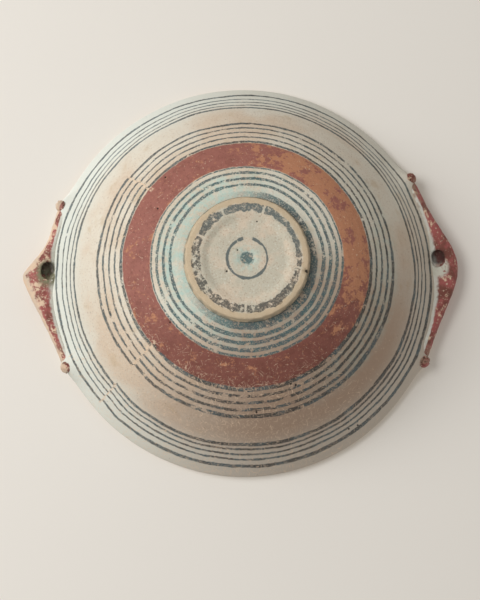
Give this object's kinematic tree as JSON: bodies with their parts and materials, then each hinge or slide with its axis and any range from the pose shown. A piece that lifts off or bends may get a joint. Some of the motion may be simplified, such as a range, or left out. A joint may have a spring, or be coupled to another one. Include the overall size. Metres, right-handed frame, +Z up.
{
  "type": "two-handled bowl",
  "caption": "Round two-handled bowl with a flaring wall and rounded lip on a low disc foot; pierced strap handles with pellet ends lie along the wall below the lip.",
  "frame": {"origin": "centre of the foot's underside, in the plane of its resting ring", "axes": "+Z up along the bowl's axis, +X towards the right handle, -Y to the front; the picture looks along +Z from below with -Y at its top"},
  "size_m": [0.1658, 0.15, 0.054],
  "materials": {
    "slipped_clay": "cream slip with dark and red painted circles, matt and worn",
    "worn_foot_clay": "cream slip worn to ochre clay at the resting ring, matt",
    "red_painted_clay": "dull red paint worn to cream clay along its edges"
  },
  "bodies": {
    "root": {"bowl_body": "slipped_clay", "foot_disc": "worn_foot_clay", "handle_right": "red_painted_clay", "pellet_right_front": "red_painted_clay", "pellet_right_back": "red_painted_clay", "handle_left": "red_painted_clay", "pellet_left_front": "red_painted_clay", "pellet_left_back": "red_painted_clay"}
  },
  "joints": []
}
